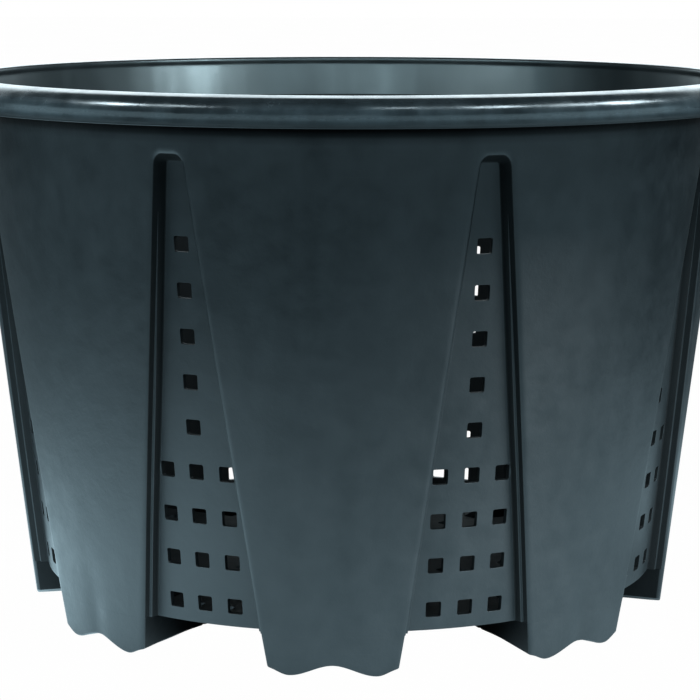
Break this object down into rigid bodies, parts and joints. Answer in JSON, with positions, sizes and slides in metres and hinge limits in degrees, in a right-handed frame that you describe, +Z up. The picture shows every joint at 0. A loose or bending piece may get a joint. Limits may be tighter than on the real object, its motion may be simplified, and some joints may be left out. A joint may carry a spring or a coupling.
{
  "type": "root pruning pot",
  "caption": "Round tapered plant pot with a rolled rim, tapering hollow legs, set-back panels with square air vents and a raised, drained floor.",
  "frame": {"origin": "on the ground under the pot's axis", "axes": "+Z up along the pot's axis, -Y towards the leg that faces the viewer"},
  "size_m": [0.46, 0.46, 0.3],
  "materials": {
    "pot_plastic": "satin black moulded polypropylene"
  },
  "bodies": {
    "root": {"rim": "pot_plastic", "rim_skirt": "pot_plastic", "upper_wall": "pot_plastic", "base_floor": "pot_plastic", "leg_wall_1": "pot_plastic", "vent_panel_1": "pot_plastic", "foot_1": "pot_plastic", "leg_wall_2": "pot_plastic", "vent_panel_2": "pot_plastic", "foot_2": "pot_plastic", "leg_wall_3": "pot_plastic", "vent_panel_3": "pot_plastic", "foot_3": "pot_plastic", "leg_wall_4": "pot_plastic", "vent_panel_4": "pot_plastic", "foot_4": "pot_plastic", "leg_wall_5": "pot_plastic", "vent_panel_5": "pot_plastic", "foot_5": "pot_plastic", "leg_wall_6": "pot_plastic", "vent_panel_6": "pot_plastic", "foot_6": "pot_plastic", "leg_wall_7": "pot_plastic", "vent_panel_7": "pot_plastic", "foot_7": "pot_plastic", "leg_wall_8": "pot_plastic", "vent_panel_8": "pot_plastic", "foot_8": "pot_plastic"}
  },
  "joints": []
}
